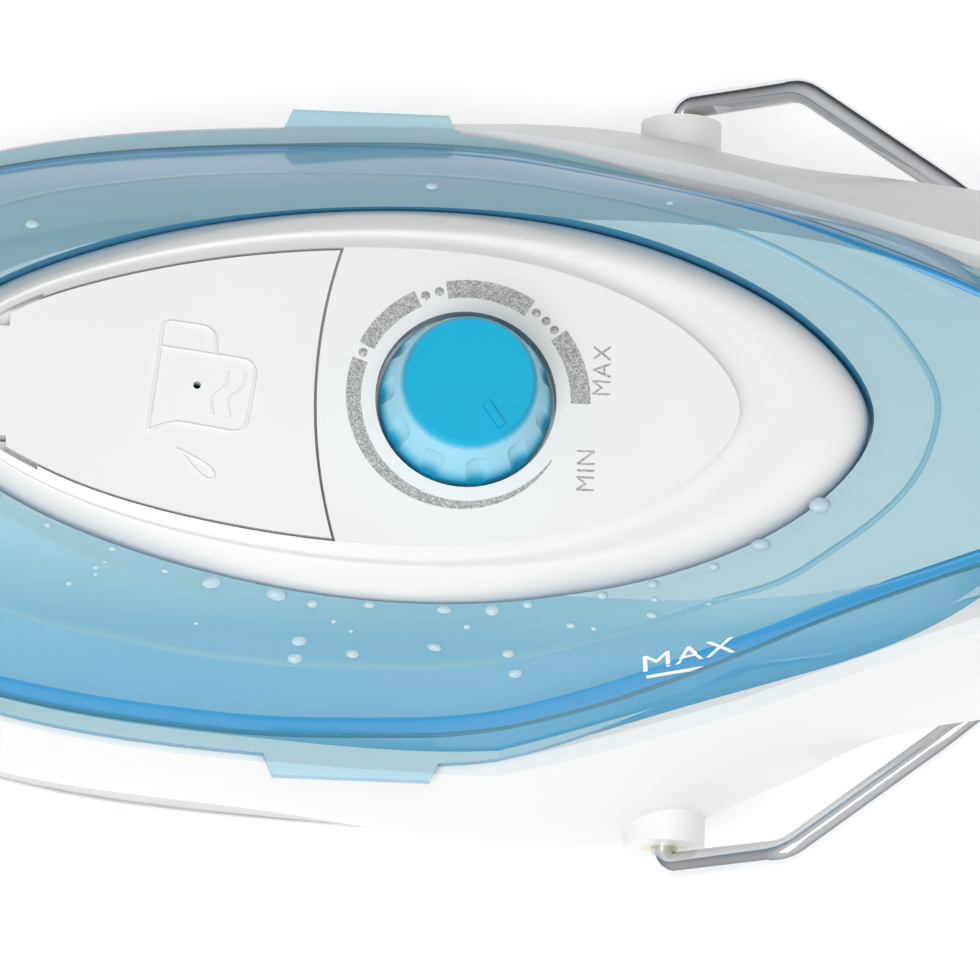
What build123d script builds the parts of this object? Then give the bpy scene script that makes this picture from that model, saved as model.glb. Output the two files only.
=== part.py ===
from build123d import *
import math
import os

# Steam iron with an in-line rear handle, a lift-off water tank and a folding wire rest.
# Millimetres. X runs to the rear, Y across, Z up. The origin lies on the sole's working face,
# straight under the axis of the temperature dial.

# --- Driving dimensions ---------------------------------------------------------------------
# Body planform
nose_reach = 140.0        # dial axis to the tip of the nose
waist_x = -25.0           # where the front of every planform is widest
body_half = 54.6          # half width of the housing at its waist
fender_out = 3.4          # how far the rear fenders stand out beyond the waist
nose_power = 0.58         # fullness of the nose, 0.5 being an ellipse
wall = 2.4                # moulded wall of the housing and the handle
seat_gap = 0.3            # clearance round a piece that lifts out or swings

# Heights above the sole face
sole_thick = 2.2
casting_top = 14.0
skirt_top = 12.0
fender_z = 20.0           # height at which the housing is widest
seam_z = 37.0             # seat of the tank, level from the nose to seam_break_x
seam_break_x = 8.0
seam_slope = 0.295        # rise of the seat behind the break
cover_seat_z = 60.0
dial_plane_z = 68.0       # flat top of the control cover

# Tail of the housing and the tank
heel_x = 46.0
tail_x = 86.0
tail_half = 42.0
tail_under_z = 48.0
tank_tail_x = 83.0
tank_set_in = 4.1         # tank flange inside the housing's waist
tank_wall = 2.2
tube_wall = 1.8           # of the dry tube that the dial's shaft passes through
flange_thick = 2.2
tab_front_x, tab_rear_x = -31.0, 1.5
tab_out = 3.2

# Control cover, plateau and filling door
cover_half = 31.4
cover_mid_x = -4.0
cover_nose_x = -nose_reach + 53.0
cover_tail_x = tank_tail_x - 20.0
cover_power = 0.575
cover_wall = 2.0
crown_in, crown_drop = 3.0, 1.6   # the cover's shoulder: in from its rim, down from its plateau
plateau_edge = 7.7        # from the cover's rim in to its plateau, at the side
plateau_half = cover_half - plateau_edge
plateau_mid_x = -8.0
plateau_nose_x = cover_nose_x + 6.0
plateau_tail_x = cover_tail_x - 20.7
door_thick = 2.0
door_gap = 0.45
door_corner_x = -18.0     # rear corners of the door
door_bow = 5.0            # how far the door's rear edge bows towards the nose
door_pin_x = plateau_nose_x + 7.4
door_pin_r = 1.2
door_pin_bite = 3.3       # length of the pin in the cover at each end
door_barrel_r = 3.0
swing_gap, swing_long = 0.6, 8.0   # more room beside the door near its hinge, where its edge swings
recess_gap = 0.3          # under the closed door
running = 0.05            # radial clearance of a turning or sliding fit
fill_hole_r = 7.0
door_hole_x = -41.5

# Temperature dial and thermostat
dial_skirt_r = 13.4
dial_ring_gap = 0.6
dial_hole_r = dial_skirt_r + dial_ring_gap
dial_top_r = 9.7
dial_top_z = 79.6
dial_flutes = 11
dial_rest_deg = -55.0     # direction of the pointer, from +X
flute_r = 3.4
flute_reach, flute_drop = 1.1, 5.6   # centre of a flute's round top, out of the skirt, below the top
flute_lean = 16.0         # flutes follow the knob's cone
shaft_r = 3.0
well_z = 64.4             # floor of the dial's well
dial_play = 0.3           # end play between the clip and the well
dial_clip_rim, dial_clip_thick = 1.3, 0.8
shaft_way = 1.6           # clearance round the shaft in the tank's tube

# Wire rest
stand_x, stand_z = 35.2, 21.8
wire_r = 2.05
wire_corner_r = 2.6
boss_out = 0.9            # boss face beyond the fender
bush_wall, boss_wall = 1.55, 2.8
bush_r = wire_r + bush_wall
bush_long = 12.0
boss_r = bush_r + boss_wall
boss_half = body_half + fender_out + boss_out   # outer face of a boss
stand_half = boss_half + wire_corner_r + seat_gap   # legs, centre line
bend_x, bend_z = 53.4, 35.0
under_x, under_half, under_z = 76.6, 44.6, 41.4
bar_x, bar_half, bar_z = 98.0, 27.0, 46.0
wire_bend_r = 6.0
wire_sweep_r = 30.0
bar_bend_r = 9.0

# Handle
handle_end_x = 182.0
handle_half = 21.0
handle_tall = 15.5        # half height
handle_z = 71.5           # height of its centre line
trigger_x = 125.0
trigger_long, trigger_wide = 24.0, 14.0
trigger_travel = 4.0
trigger_low_z = 51.5
trigger_flange_z = 62.0   # underside of the trigger's retaining flange
trigger_flange = 1.6
pump_r = 7.0
pump_low_z, pump_top_z = 72.0, 82.5
plunger_r = 2.5
spring_r, spring_wire_r, spring_turns = 4.6, 0.45, 4
gland_r, gland_bore_r, gland_long = 6.2, 3.4, 16.0
gland_flange_r, gland_flange = 8.0, 1.8
lens_x, lens_r = 103.0, 3.2
joint_gap = 0.2           # between the housing's tail and the handle
parting_front_z, parting_rear_x = 56.0, 122.0

# Inside
element_r = 3.3
element_z = 9.0
element_rear_x, element_side, element_spread = 34.0, 22.0, 36.0
element_nose_x = -nose_reach + 36.0
screw_r, screw_head_r, screw_head_tall = 1.6, 3.1, 2.2
screw_bite = 7.0          # thread length in the piece a screw holds
screw_gap = 0.15
post_r = 4.8
deck_posts = ((-nose_reach + 44.0, 0.0), (26.0, 30.0), (26.0, -30.0))
handle_posts = ((99.0, 20.0), (99.0, -20.0), (146.0, 0.0))
chamber_front_x, chamber_rear_x, chamber_half = -nose_reach + 56.0, -24.0, 18.0
chamber_floor_z = 7.5
plate_thick = 1.2
feed_x = -46.0
outlet_r, valve_r = 5.0, 3.0
base_half = 11.0          # thermostat base, square
base_low_z, base_top_z = 15.0, 21.0
fuse_r = 2.2
tube_r, tube_bore_r = 1.9, 1.1
spigot_z = 76.0
far = 220.0               # reach of cutting solids beyond the object


# --- Shared shapes --------------------------------------------------------------------------
def nose_side(nose, middle, half, power):
    """Points from the widest place forward, short of the tip, on the +Y side."""
    steps = (0.0, 0.4, 0.7, 0.9)
    return [(middle + t * (nose - middle), half * (1 - t * t) ** power) for t in steps]


def planform(z, nose, half, rear, inset=0.0):
    """Level face with a rounded nose and a straight tail; rear lists (x, half width) forward to aft."""
    side = nose_side(nose + inset, waist_x, half - inset, nose_power)
    tail = [(x, y - inset) for x, y in rear]
    tail[-1] = (tail[-1][0] - inset, tail[-1][1])
    points = [(x, -y, z) for x, y in reversed(tail)] + [(x, -y, z) for x, y in side]
    points += [(nose + inset, 0, z)]
    points += [(x, y, z) for x, y in reversed(side)] + [(x, y, z) for x, y in tail]
    return Face(Wire([Spline(*points), Line(points[-1], points[0])]))


def oval(z, nose, tail, middle, half, grow=0.0):
    """Level oval face, pointed alike at the nose and the tail."""
    front = nose_side(nose - grow, middle, half + grow, cover_power)
    back = nose_side(tail + grow, middle, half + grow, cover_power)[1:]
    points = [(nose - grow, 0, z)]
    points += [(x, y, z) for x, y in reversed(front)] + [(x, y, z) for x, y in back]
    points += [(tail + grow, 0, z)]
    points += [(x, -y, z) for x, y in reversed(back)] + [(x, -y, z) for x, y in front]
    return Face(Wire([Spline(*points, periodic=True)]))


def side_prism(points):
    """Solid across the whole width from an outline in the XZ plane."""
    outline = Polyline(*[(x, 0, z) for x, z in points], close=True)
    return extrude(make_face(outline), far, dir=(0, 1, 0), both=True)


def raised(face, height):
    return extrude(face, height, dir=(0, 0, 1))


def seam_height(x):
    return seam_z + seam_slope * max(0.0, x - seam_break_x)


def seam_band(low, high):
    """Layer that follows the seat of the tank, between two heights above it."""
    stations = (-far, seam_break_x, far)
    bottom = [(x, seam_height(x) + low) for x in stations]
    top = [(x, seam_height(x) + high) for x in reversed(stations)]
    return side_prism(bottom + top)


def cylinder_z(r, low, high, x=0.0, y=0.0):
    return Pos(x, y, (low + high) / 2) * Cylinder(r, high - low)


def cylinder_y(r, low, high, x, z):
    return Pos(x, (low + high) / 2, z) * Rot(90, 0, 0) * Cylinder(r, high - low)


def cylinder_x(r, low, high, y, z):
    return Pos((low + high) / 2, y, z) * Rot(0, 90, 0) * Cylinder(r, high - low)


def block(x0, x1, y0, y1, z0, z1):
    return Pos((x0 + x1) / 2, (y0 + y1) / 2, (z0 + z1) / 2) * Box(x1 - x0, y1 - y0, z1 - z0)


# --- Housing --------------------------------------------------------------------------------
def housing_body(inset):
    """Outer form of the housing, or the hollow inside it, before the seat of the tank is cut."""
    fender = body_half + fender_out
    pivot_half = fender - 3.0
    levels = (
        (skirt_top, 3.0, 1.4, [(20, fender - 0.7), (36, pivot_half - 1.0), (heel_x, 44)]),
        (fender_z, 0.0, 0.0, [(20, fender), (38, pivot_half), (heel_x + 5, 47)]),
        (34.0, 4.0, 2.2, [(22, body_half - 1.6), (44, 50.5), (heel_x + 12, 48)]),
        (43.0, 10.0, 5.5, [(22, body_half - 6.5), (48, 46), (heel_x + 20, 45.5)]),
        (tail_under_z, 16.0, 9.0, [(22, body_half - 9.5), (52, 42.5), (tail_x, tail_half)]),
        (62.0, 34.0, 20.0, [(22, body_half - 19), (55, 31), (tail_x, 28)]),
    )
    faces = [
        planform(z, -nose_reach + back, body_half - narrow, rear, inset)
        for z, back, narrow, rear in levels
    ]
    return loft(faces)


def stand_bosses(r, inner, outer):
    near = cylinder_y(r, -outer, -inner, stand_x, stand_z)
    return near + mirror(near, Plane.XZ)


def lower_housing(outer, hollow):
    bosses = stand_bosses(boss_r, boss_half - bush_long, boss_half)
    behind = block(tail_x, far, -far, far, -far, far)
    return outer - [hollow, seam_band(0, far), behind] + bosses - stand_bosses(bush_r, 0, far)


def housing_deck(hollow):
    deck = hollow & seam_band(-wall, 0)
    posts = [
        cylinder_z(post_r, casting_top, seam_height(x - post_r) - 1, x, y) for x, y in deck_posts
    ]
    holes = [cylinder_z(shaft_r + 2, 0, far), cylinder_z(outlet_r + 1, 0, far, feed_x)]
    for x, y in deck_posts:
        holes.append(cylinder_z(screw_r + screw_gap, 0, far, x, y))
        holes.append(cylinder_z(screw_head_r + screw_gap, screw_seat(x), far, x, y))
    behind = block(tail_x, far, -far, far, -far, far)
    return deck + posts - [behind, *holes]


def screw_seat(x):
    """Height under the head of a screw that goes down through a deck post."""
    return seam_height(x) - 8


def screw(x, y, seat, tip, up=1):
    """Pan-head screw; up is 1 where its head lies above the seat and -1 below it."""
    head = sorted((seat, seat + up * screw_head_tall))
    shank = sorted((seat, tip))
    return cylinder_z(screw_head_r, *head, x, y) + cylinder_z(screw_r, *shank, x, y)


def sole_screws():
    return [screw(x, y, screw_seat(x), casting_top - screw_bite) for x, y in deck_posts]


# --- Sole and steam chamber -----------------------------------------------------------------
def sole_outline(z, inset):
    rear = [(20, body_half - 1.2), (36, body_half - 2.6), (heel_x, 42)]
    return planform(z, -nose_reach + 4, body_half - 2.6, rear, inset)


def soleplate():
    plate = raised(sole_outline(0, 0.0), sole_thick)
    plate = fillet(plate.faces().sort_by(Axis.Z)[0].edges(), 1.0)
    holes = []
    for row in range(3):
        for i in range(-4, 5):
            x = -nose_reach + 34 + row * 11 + 1.6 * i * i
            holes.append(cylinder_z(1.2, -1, sole_thick + 1, x, i * (4.0 + 0.6 * row)))
    return plate - holes


def heating_element():
    path = FilletPolyline(
        (element_rear_x, element_side, element_z), (-30, element_spread, element_z),
        (element_nose_x, 0, element_z), (-30, -element_spread, element_z),
        (element_rear_x, -element_side, element_z), radius=(30, 12, 30),
    )
    tube = sweep(Plane(path @ 0, z_dir=path % 0) * Circle(element_r), path=path)
    for side in (-1, 1):
        y = side * element_side
        tube += cylinder_x(element_r / 2, element_rear_x - 4, element_rear_x + 5, y, element_z)
    return tube


def heater_casting(element):
    body = raised(sole_outline(sole_thick, 7.0), casting_top - sole_thick)
    cuts = [
        block(chamber_front_x, chamber_rear_x, -chamber_half, chamber_half, chamber_floor_z, far),
        block(element_nose_x + 12, chamber_rear_x, -2, 2, 0, sole_thick + 2),
    ]
    cuts += [cylinder_z(1.6, 0, chamber_floor_z + 1, x, 0) for x in range(-76, -28, 12)]
    cuts += [cylinder_z(screw_r, casting_top - screw_bite, far, x, y) for x, y in deck_posts]
    return body - [*cuts, element]


def steam_chamber_cover():
    plate = block(
        chamber_front_x - 4, chamber_rear_x + 4, -chamber_half - 4, chamber_half + 4,
        casting_top, casting_top + plate_thick,
    )
    plate = fillet(plate.edges().filter_by(Axis.Z), 4)
    return plate - cylinder_z(tube_bore_r, 0, far, feed_x)


def heat_shield_skirt():
    low = [(20, body_half - 0.6), (36, body_half - 2.4), (heel_x - 1, 42)]
    high = [(20, body_half + 1.6), (36, body_half - 1.4), (heel_x - 1, 43)]
    ring = loft([
        planform(sole_thick, -nose_reach + 5, body_half - 2.9, low),
        planform(skirt_top, -nose_reach + 4, body_half - 2.2, high),
    ])
    return ring - raised(sole_outline(0, 5.5), far)


# --- Tank -----------------------------------------------------------------------------------
def tank_body(inset):
    """Domed form of the tank, or the water space inside it, before the seat is cut away."""
    levels = (
        (seam_z - 3, 4.0, tank_set_in - 0.8, [(12, body_half - 4.2), (40, 46), (tank_tail_x, 40)]),
        (47.0, 15.0, 11.0, [(6, body_half - 9.8), (38, 41), (tank_tail_x, 34)]),
        (57.0, 30.0, 17.5, [(6, body_half - 16.4), (36, 37.5), (tank_tail_x, 26)]),
        (66.0 - inset, 50.0, 27.0, [(6, body_half - 25), (36, 30), (tank_tail_x, 20)]),
    )
    faces = [
        planform(z, -nose_reach + back, body_half - narrow, rear, inset)
        for z, back, narrow, rear in levels
    ]
    return loft(faces)


def tank_flange():
    """Plate on the seat with a finger tab at each side; the tank's walls stand on its rim."""
    rear = [(8, body_half - 4.9), (38, 40), (60, 32.7), (tank_tail_x, 25)]
    rim = raised(planform(seam_z - 5, -nose_reach + 6, body_half - tank_set_in, rear), far)
    low, high = body_half - tank_set_in - 6, body_half - tank_set_in + tab_out
    tab = Polyline(
        (tab_front_x, low), (tab_front_x + 4, high), (tab_rear_x - 4, high), (tab_rear_x, low),
        close=True,
    )
    tabs = raised(make_face(tab), far)
    return (rim + tabs + mirror(tabs, Plane.XZ)) & seam_band(0, flange_thick)


def cover_oval(z, grow):
    return oval(z, cover_nose_x, cover_tail_x, cover_mid_x, cover_half, grow)


def water_tank(room):
    """Shell open at the cover's seat and underneath; room is the water space."""
    outer = tank_body(0)
    rim = raised(cover_oval(cover_seat_z - tank_wall, 2.4), far) & outer
    mouth = raised(cover_oval(0, -3.0), far)
    seat = raised(cover_oval(cover_seat_z, seat_gap), far)
    return outer + tank_flange() - room + rim - [mouth, seat, seam_band(-far, 0)]


def tank_floor(room):
    floor = room & seam_band(0, tank_wall)
    floor += cylinder_z(shaft_r + shaft_way + tube_wall, seam_z, well_z - cover_wall)
    floor -= cylinder_z(shaft_r + shaft_way, 0, far)
    return floor - cylinder_z(outlet_r, 0, far, feed_x)


def outlet_valve():
    """Poppet in the tank's outlet; its nose enters the seat in the deck."""
    plug = cylinder_z(outlet_r, seam_z, seam_z + tank_wall, feed_x)
    plug += cylinder_z(outlet_r + 2, seam_z + tank_wall, seam_z + tank_wall + 1.6, feed_x)
    plug += cylinder_z(valve_r, seam_z - 2, seam_z, feed_x)
    return plug - cylinder_z(1.0, 0, far, feed_x)


def valve_seat():
    ring = cylinder_z(outlet_r + 1, seam_z - wall, seam_z, feed_x)
    return ring - cylinder_z(valve_r + 0.4, 0, far, feed_x)


def feed_tube():
    low, high = casting_top + plate_thick, seam_z - wall
    tube = cylinder_z(outlet_r, high - 2, high, feed_x) + cylinder_z(tube_r, low, high, feed_x)
    return tube - cylinder_z(tube_bore_r, 0, far, feed_x)


# --- Control cover and filling door ---------------------------------------------------------
def plateau(z, grow):
    return oval(z, plateau_nose_x, plateau_tail_x, plateau_mid_x, plateau_half, grow)


def crown_oval(z, share):
    """Between the cover's shoulder, at share 0, and its plateau, at share 1."""
    shoulder = (cover_nose_x + crown_in, cover_tail_x - crown_in, cover_mid_x, cover_half - crown_in)
    flat = (plateau_nose_x, plateau_tail_x, plateau_mid_x, plateau_half)
    return oval(z, *[a + (b - a) * share for a, b in zip(shoulder, flat)])


def door_zone(gap):
    """Footprint of the filling door: the front of the plateau, up to a bowed rear edge."""
    corner, mid = door_corner_x - gap, door_corner_x - door_bow - gap
    side = plateau_half + 4
    rear = ThreePointArc((corner, -side, 0), (mid, 0, 0), (corner, side, 0))
    front = Polyline((corner, side), (door_pin_x, side), (door_pin_x, -side), (corner, -side))
    return raised(make_face([rear, front]), far) & raised(plateau(0, -gap), far)


def control_cover():
    outer = loft([
        cover_oval(cover_seat_z, 0), cover_oval(cover_seat_z + 3, -0.3),
        crown_oval(dial_plane_z - crown_drop, 0), crown_oval(dial_plane_z - 0.4 * crown_drop, 0.35),
        plateau(dial_plane_z, 0),
    ])
    inner = loft([
        cover_oval(cover_seat_z - 1, -cover_wall),
        cover_oval(cover_seat_z + 3, -cover_wall - 0.3),
        oval(dial_plane_z - cover_wall, plateau_nose_x, plateau_tail_x, plateau_mid_x, plateau_half),
    ])
    recess_z = dial_plane_z - door_thick - recess_gap
    floor = door_zone(-cover_wall) & block(-far, far, -far, far, recess_z - cover_wall, recess_z)
    cheeks = block(door_pin_x - 7, door_pin_x + 7, -14, 14, cover_seat_z, far) & outer
    well = cylinder_z(dial_hole_r + cover_wall, well_z - cover_wall, dial_plane_z)
    barrel_half = door_front_half()
    barrel_front = door_pin_x - door_barrel_r - seat_gap
    barrel_room = cylinder_y(
        door_barrel_r + seat_gap, -barrel_half, barrel_half, door_pin_x, door_pin_z()
    )
    barrel_room += block(barrel_front, door_pin_x, -barrel_half, barrel_half, door_pin_z(), far)
    swing = block(-far, door_pin_x + swing_long, -far, far, recess_z, far)
    return outer - inner + [floor, cheeks, well] - [
        door_zone(0) & block(-far, far, -far, far, recess_z, far),
        door_zone(-swing_gap) & swing,
        barrel_room,
        door_hinge_pin(),
        cylinder_z(fill_hole_r, 0, far, door_hole_x),
        cylinder_z(dial_hole_r, well_z, far),
        cylinder_z(shaft_r + dial_play, 0, far),
    ]


def door_pin_z():
    return dial_plane_z - door_barrel_r


def door_front_half():
    """Half width of the door's recess at its hinge."""
    t = (plateau_mid_x - door_pin_x) / (plateau_mid_x - plateau_nose_x)
    return plateau_half * (1 - t * t) ** cover_power


def pin_half():
    return door_front_half() + door_pin_bite


def door_hinge_pin():
    return cylinder_y(door_pin_r, -pin_half(), pin_half(), door_pin_x, door_pin_z())


def fill_door():
    plate = door_zone(door_gap) & block(
        -far, far, -far, far, dial_plane_z - door_thick, dial_plane_z
    )
    barrel_half = door_front_half() - door_gap
    plate += cylinder_y(door_barrel_r, -barrel_half, barrel_half, door_pin_x, door_pin_z())
    corner = block(-far, door_pin_x + door_barrel_r, barrel_half, far, 0, far)
    plate -= [corner, mirror(corner, Plane.XZ)]
    plate -= cylinder_y(door_pin_r + running, -far, far, door_pin_x, door_pin_z())
    return plate - cylinder_z(0.6, 0, far, door_hole_x, 0.5)


def door_seal():
    """Soft plug under the door that closes the filler."""
    top = dial_plane_z - door_thick
    ring = cylinder_z(fill_hole_r - 2.2, top - 2.4, top, door_hole_x)
    return ring - cylinder_z(fill_hole_r - 4, 0, far, door_hole_x)


def fill_funnel():
    """Flanged filler tube hanging in the cover over the tank."""
    floor = dial_plane_z - door_thick - recess_gap - cover_wall
    tube = cylinder_z(fill_hole_r, floor - 6, floor + cover_wall, door_hole_x)
    tube += cylinder_z(fill_hole_r + 2, floor - 1.5, floor, door_hole_x)
    return tube - cylinder_z(fill_hole_r - 1.6, 0, far, door_hole_x)


# --- Temperature dial -----------------------------------------------------------------------
def temperature_dial():
    low = well_z + 0.6
    rings = (
        (low, dial_skirt_r), (dial_plane_z, dial_skirt_r - 0.2),
        (dial_top_z - 1.2, dial_top_r + 0.7), (dial_top_z, dial_top_r),
    )
    knob = loft([Pos(0, 0, z) * Circle(r) for z, r in rings], ruled=True)
    groove = Pos(0, 0, -8) * Cylinder(flute_r, 16) + Sphere(flute_r)
    groove = Rot(0, -flute_lean, 0) * groove
    groove = Pos(dial_skirt_r + flute_reach, 0, dial_top_z - flute_drop) * groove
    grooves = [Rot(0, 0, 360 / dial_flutes * (i + 0.5)) * groove for i in range(dial_flutes)]
    rib = Rot(0, 0, dial_rest_deg) * Pos(6.6, 0, dial_top_z) * Box(4.4, 1.2, 1.0)
    return knob - [*grooves, cylinder_z(shaft_r, 0, dial_top_z - 2.5)] + rib


def dial_shaft():
    return cylinder_z(shaft_r, base_low_z + 2, dial_top_z - 2.5)


def dial_clip():
    """Spring clip under the well that keeps the dial and its shaft in the cover."""
    top = well_z - cover_wall - dial_play
    ring = cylinder_z(shaft_r + dial_clip_rim, top - dial_clip_thick, top)
    return ring - cylinder_z(shaft_r, 0, far)


# --- Thermostat -----------------------------------------------------------------------------
def thermostat_base():
    base = block(-base_half, base_half, -base_half, base_half, base_low_z, base_top_z)
    base = fillet(base.edges().filter_by(Axis.Z), 2)
    return base - cylinder_z(shaft_r + running, base_low_z + 1.8, far)


def thermostat_bracket():
    plate = block(
        -base_half, base_half + 8, -base_half + 3, base_half - 3, base_top_z,
        base_top_z + plate_thick,
    )
    leg_x = base_half + 8
    plate += block(
        leg_x - plate_thick, leg_x, -base_half + 3, base_half - 3, base_low_z,
        base_top_z + plate_thick,
    )
    return plate - cylinder_z(shaft_r + 1, 0, far)


def bimetal_strip():
    return block(-base_half - 3, base_half + 18, -5, 5, casting_top, base_low_z)


def thermal_fuse():
    y = base_half + 6
    return cylinder_x(fuse_r, 4, 20, y, casting_top + fuse_r) + cylinder_x(
        0.6, -2, 26, y, casting_top + fuse_r
    )


# --- Wire rest ------------------------------------------------------------------------------
def wire_stand():
    side = [
        (stand_x, boss_half - bush_long, stand_z), (stand_x, stand_half, stand_z),
        (bend_x, stand_half, bend_z), (under_x, under_half, under_z), (bar_x, bar_half, bar_z),
    ]
    points = side + [(x, -y, z) for x, y, z in reversed(side)]
    radii = [wire_corner_r, wire_bend_r, wire_sweep_r, bar_bend_r]
    path = FilletPolyline(*points, radius=radii + radii[::-1])
    return sweep(Plane(path @ 0, z_dir=path % 0) * Circle(wire_r), path=path)


def stand_bush(side):
    ends = sorted((side * (boss_half - bush_long), side * boss_half))
    bush = cylinder_y(bush_r, *ends, stand_x, stand_z)
    return bush - cylinder_y(wire_r + running, -far, far, stand_x, stand_z)


# --- Handle ---------------------------------------------------------------------------------
def section(x, half, low, high, wide, inset):
    """Upright rounded section; wide is the height of its widest place."""
    points = []
    for i in range(12):
        angle = math.radians(30 * i)
        c, s = math.cos(angle), math.sin(angle)
        reach = high - wide if s > 0 else wide - low
        y = math.copysign(abs(c) ** 0.8, c) * (half - inset)
        z = wide + math.copysign(abs(s) ** 0.8, s) * (reach - inset)
        points.append((x, y, z))
    return Face(Wire([Spline(*points, periodic=True)]))


def handle_body(inset, front, rear):
    low, high = handle_z - handle_tall, handle_z + handle_tall
    levels = (
        (front, tail_half, tail_under_z - 1, 64, 52),
        (100, 33, 52.5, 76, 62),
        (118, handle_half + 1.5, low, high - 0.5, handle_z - 1),
        (150, handle_half, low, high, handle_z),
        (handle_end_x - 8, handle_half - 1, low + 1, high - 1, handle_z),
        (rear, handle_half - 7, low + 6, high - 6, handle_z),
    )
    return loft([section(x, half, z0, z1, wide, inset) for x, half, z0, z1, wide in levels])


def above_parting():
    """Everything over the line where the handle's two shells meet."""
    line = [(x, parting_height(x)) for x in (tail_x - 5, parting_rear_x, far)]
    return side_prism([*line, (far, far), (tail_x - 5, far)])


def handle_shell():
    front, rear = tail_x + joint_gap, handle_end_x
    outer = handle_body(0, front, rear)
    shell = outer - handle_body(wall, front - 0.01, rear - wall)
    posts = [cylinder_z(post_r, 0, far, x, y) & outer for x, y in handle_posts]
    return shell + posts - cylinder_x(gland_r, rear - 8, far, 0, handle_z)


def handle_upper_shell(shell):
    holes = [
        cylinder_z(screw_r, 0, parting_height(x) + screw_bite, x, y) for x, y in handle_posts
    ]
    return (shell & above_parting()) - [*holes, cylinder_z(lens_r, 0, far, lens_x)]


def handle_lower_shell(shell):
    half_long, half_wide = trigger_long / 2 + seat_gap, trigger_wide / 2 + seat_gap
    cuts = [
        above_parting(),
        block(trigger_x - half_long, trigger_x + half_long, -half_wide, half_wide, 0, far),
    ]
    for x, y in handle_posts:
        cuts.append(cylinder_z(screw_r + screw_gap, 0, far, x, y))
        cuts.append(cylinder_z(screw_head_r + screw_gap, 0, handle_screw_seat(x), x, y))
    return shell - cuts


def parting_height(x):
    """Height of the line where the handle's two shells meet."""
    if x >= parting_rear_x:
        return handle_z
    rise = (handle_z - parting_front_z) / (parting_rear_x - tail_x)
    return parting_front_z + rise * (x - tail_x)


def handle_screw_seat(x):
    return parting_height(x) - 4


def handle_screws():
    return [
        screw(x, y, handle_screw_seat(x), parting_height(x) + screw_bite - 1, -1)
        for x, y in handle_posts
    ]


def pilot_lens():
    outer = handle_body(0, tail_x + joint_gap, handle_end_x)
    return cylinder_z(lens_r, 66, far, lens_x) & outer


def steam_trigger():
    half_long, half_wide = trigger_long / 2, trigger_wide / 2
    pad = block(
        trigger_x - half_long, trigger_x + half_long, -half_wide, half_wide,
        trigger_low_z, trigger_flange_z,
    )
    pad = fillet(pad.edges().filter_by(Axis.Z), 4)
    pad = fillet(pad.faces().sort_by(Axis.Z)[0].edges(), 2)
    return pad + block(
        trigger_x - half_long - 2, trigger_x + half_long + 2, -half_wide - 2, half_wide + 2,
        trigger_flange_z, trigger_flange_z + trigger_flange,
    )


def pump_plunger():
    low = trigger_flange_z + trigger_flange
    return cylinder_z(plunger_r, low, pump_top_z - 1.5 - trigger_travel, trigger_x)


def pump_body():
    body = cylinder_z(pump_r, pump_low_z, pump_top_z, trigger_x)
    body += cylinder_x(tube_bore_r, spigot_x(), trigger_x - plunger_r - 1, 0, spigot_z)
    return body - cylinder_z(plunger_r + running, 0, pump_top_z - 1, trigger_x)


def spigot_x():
    """Front end of the pump's outlet spigot."""
    return trigger_x - pump_r - 4


def trigger_spring():
    low = trigger_flange_z + trigger_flange + spring_wire_r
    tall = pump_low_z - low - spring_wire_r
    coil = Pos(trigger_x, 0, low) * Helix(tall / spring_turns, tall, spring_r)
    return sweep(Plane(coil @ 0, z_dir=coil % 0) * Circle(spring_wire_r), path=coil)


def water_tube():
    path = FilletPolyline(
        (trigger_x - pump_r - 0.6, 0, spigot_z), (spigot_x() - 3, 0, spigot_z), (96, -12, 60),
        (82, -12, 53), (66, -12, 49), (48, -12, 31), (34, -12, 26), (34, -12, casting_top),
        radius=(3, 12, 12, 12, 12, 7),
    )
    start = Plane(path @ 0, z_dir=path % 0)
    return sweep(start * Circle(tube_r), path=path) - sweep(start * Circle(tube_bore_r), path=path)


def terminal_block():
    body = block(152, 165, -9, 9, handle_z - 6, handle_z + 4)
    for y in (-5.5, 0, 5.5):
        body -= cylinder_z(1.6, handle_z - 3, far, 158.5, y)
    return body


def cord_gland():
    """Flanged bush for a mains lead in the end of the handle."""
    inner = handle_end_x - gland_long
    gland = cylinder_x(gland_r, inner, handle_end_x + gland_flange, 0, handle_z)
    gland += cylinder_x(gland_flange_r, handle_end_x, handle_end_x + gland_flange, 0, handle_z)
    return gland - cylinder_x(gland_bore_r, 0, far, 0, handle_z)


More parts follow.
